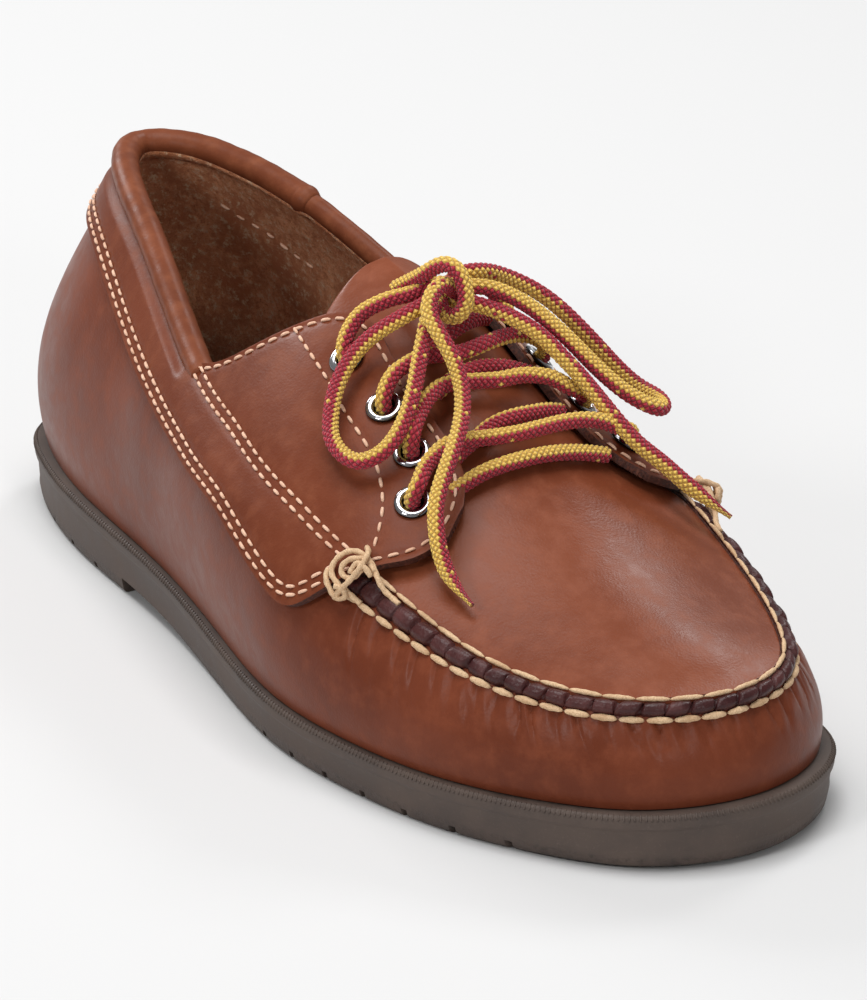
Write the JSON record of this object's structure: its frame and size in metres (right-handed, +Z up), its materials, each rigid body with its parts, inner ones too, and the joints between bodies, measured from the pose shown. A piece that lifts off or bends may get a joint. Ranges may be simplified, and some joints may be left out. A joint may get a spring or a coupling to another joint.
{
  "type": "shoe",
  "caption": "Blucher moccasin for a right foot: brown leather upper with a puckered apron seam, laced flaps, a rolled collar and a moulded rubber sole with a low heel.",
  "frame": {"origin": "centre of the box round the shoe, on the floor under the sole", "axes": "+X towards the toe, +Y towards the inner (medial) side of the foot, +Z up"},
  "size_m": [0.3, 0.1099, 0.105],
  "materials": {
    "upper_leather": "smooth oiled leather, satin",
    "quarter_leather": "smooth oiled leather, satin",
    "sole_rubber": "moulded, matt, knurled top edge",
    "insole_suede": "suede, matt",
    "eyelet_metal": "nickel plated, polished",
    "lace": "round woven lace, two colours, matt"
  },
  "bodies": {
    "root": {"outsole": "sole_rubber", "insole": "insole_suede", "upper": "upper_leather", "tongue": "upper_leather", "quarter_outer": "quarter_leather", "quarter_inner": "quarter_leather", "collar_outer": "quarter_leather", "collar_inner": "quarter_leather", "eyelet_outer_1": "eyelet_metal", "eyelet_outer_2": "eyelet_metal", "eyelet_outer_3": "eyelet_metal", "eyelet_outer_4": "eyelet_metal", "eyelet_inner_1": "eyelet_metal", "eyelet_inner_2": "eyelet_metal", "eyelet_inner_3": "eyelet_metal", "eyelet_inner_4": "eyelet_metal", "lace_bar_low": "lace", "lace_bar_4": "lace", "lace_bar_3": "lace", "lace_bar_2": "lace", "lace_top_outer": "lace", "lace_top_inner": "lace", "lace_knot": "lace", "lace_loop_outer": "lace", "lace_loop_inner": "lace", "lace_end_centre": "lace", "lace_end_inner": "lace"}
  },
  "joints": []
}
